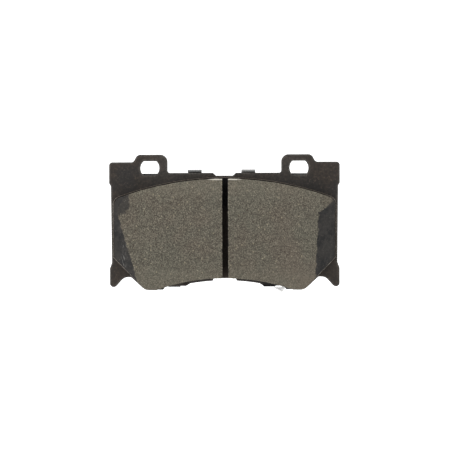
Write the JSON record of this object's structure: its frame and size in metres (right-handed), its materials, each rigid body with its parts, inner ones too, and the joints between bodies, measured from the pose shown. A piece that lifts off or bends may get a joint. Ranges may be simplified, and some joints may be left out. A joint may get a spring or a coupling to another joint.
{
  "type": "brake pad",
  "caption": "Front disc-brake pad for a fixed caliper: steel plate with guide-pin ears, slotted ramped lining, wear indicator and a clip-on shim pack that floats sideways.",
  "frame": {"origin": "midway between the two guide-pin holes, on the back face of the steel plate", "axes": "+X along the pad to the right as seen from the rotor, +Z away from the wheel's axle, friction faces look along -Y and the pistons push from +Y"},
  "size_m": [0.132, 0.0181, 0.0793],
  "materials": {
    "black_plate": "matte black-brown powder coat",
    "bond_film": "cured phenolic adhesive",
    "underlayer_mix": "moulded, dull brown",
    "friction_mix": "ground moulded compound, speckled olive grey",
    "spring_steel": "bright spring steel",
    "zinc_rivet": "zinc plated",
    "shim_rubber": "matte damping rubber",
    "coated_core": "black coated steel sheet",
    "stainless_cover": "brushed stainless sheet"
  },
  "bodies": {
    "pad": {"backing_plate": "black_plate", "bond_coat": "bond_film", "underlayer": "underlayer_mix", "friction_block_left": "friction_mix", "friction_block_right": "friction_mix", "wear_indicator": "spring_steel", "wear_indicator_rivet": "zinc_rivet"},
    "shim_pack": {"shim_front_rubber": "shim_rubber", "shim_core": "coated_core", "shim_rear_rubber": "shim_rubber", "cover_shim": "stainless_cover"}
  },
  "joints": [
    {"name": "shim_float", "type": "slide", "parent": "pad", "child": "shim_pack", "axis": [1, 0, 0], "range_m": [0, 0.0033]}
  ]
}
